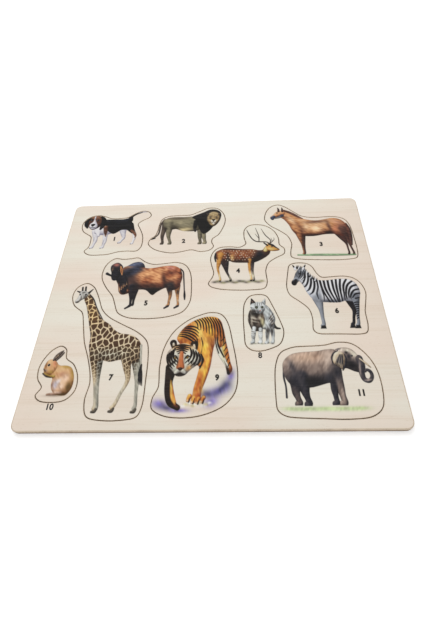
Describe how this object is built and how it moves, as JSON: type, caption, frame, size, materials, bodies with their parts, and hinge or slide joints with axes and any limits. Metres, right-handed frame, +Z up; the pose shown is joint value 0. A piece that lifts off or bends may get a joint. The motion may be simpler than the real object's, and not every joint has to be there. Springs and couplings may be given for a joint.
{
  "type": "magnetic wooden puzzle",
  "caption": "Flat rectangular wooden puzzle tray with animal-shaped pockets, each holding a flush printed wooden piece with a disc magnet set into its back.",
  "frame": {"origin": "middle of the tray's underside", "axes": "+X along the tray's long side, +Y from the front edge to the back edge, +Z up, the way the pieces lift out"},
  "size_m": [0.3, 0.225, 0.0053],
  "materials": {
    "hardboard": "raw pressed fibre, matt brown",
    "pale_plywood": "pale straight-grained face veneer under a thin satin coat, toasted brown on the cut walls",
    "printed_plywood": "pale veneer with a colour print under a thin satin coat, toasted brown on the cut walls",
    "ferrite": "dark grey sintered ferrite, matt"
  },
  "bodies": {
    "tray": {"base_board": "hardboard", "frame_board": "pale_plywood"},
    "dog": {"dog_piece": "printed_plywood", "dog_magnet": "ferrite"},
    "lion": {"lion_piece": "printed_plywood", "lion_magnet": "ferrite"},
    "horse": {"horse_piece": "printed_plywood", "horse_magnet": "ferrite"},
    "deer": {"deer_piece": "printed_plywood", "deer_magnet": "ferrite"},
    "ox": {"ox_piece": "printed_plywood", "ox_magnet": "ferrite"},
    "zebra": {"zebra_piece": "printed_plywood", "zebra_magnet": "ferrite"},
    "giraffe": {"giraffe_piece": "printed_plywood", "giraffe_magnet": "ferrite"},
    "cat": {"cat_piece": "printed_plywood", "cat_magnet": "ferrite"},
    "tiger": {"tiger_piece": "printed_plywood", "tiger_magnet": "ferrite"},
    "rabbit": {"rabbit_piece": "printed_plywood", "rabbit_magnet": "ferrite"},
    "elephant": {"elephant_piece": "printed_plywood", "elephant_magnet": "ferrite"}
  },
  "joints": [
    {"name": "dog_lift", "type": "slide", "parent": "tray", "child": "dog", "axis": [0, 0, 1], "range_m": [0, 0.04]},
    {"name": "lion_lift", "type": "slide", "parent": "tray", "child": "lion", "axis": [0, 0, 1], "range_m": [0, 0.04]},
    {"name": "horse_lift", "type": "slide", "parent": "tray", "child": "horse", "axis": [0, 0, 1], "range_m": [0, 0.04]},
    {"name": "deer_lift", "type": "slide", "parent": "tray", "child": "deer", "axis": [0, 0, 1], "range_m": [0, 0.04]},
    {"name": "ox_lift", "type": "slide", "parent": "tray", "child": "ox", "axis": [0, 0, 1], "range_m": [0, 0.04]},
    {"name": "zebra_lift", "type": "slide", "parent": "tray", "child": "zebra", "axis": [0, 0, 1], "range_m": [0, 0.04]},
    {"name": "giraffe_lift", "type": "slide", "parent": "tray", "child": "giraffe", "axis": [0, 0, 1], "range_m": [0, 0.04]},
    {"name": "cat_lift", "type": "slide", "parent": "tray", "child": "cat", "axis": [0, 0, 1], "range_m": [0, 0.04]},
    {"name": "tiger_lift", "type": "slide", "parent": "tray", "child": "tiger", "axis": [0, 0, 1], "range_m": [0, 0.04]},
    {"name": "rabbit_lift", "type": "slide", "parent": "tray", "child": "rabbit", "axis": [0, 0, 1], "range_m": [0, 0.04]},
    {"name": "elephant_lift", "type": "slide", "parent": "tray", "child": "elephant", "axis": [0, 0, 1], "range_m": [0, 0.04]}
  ]
}
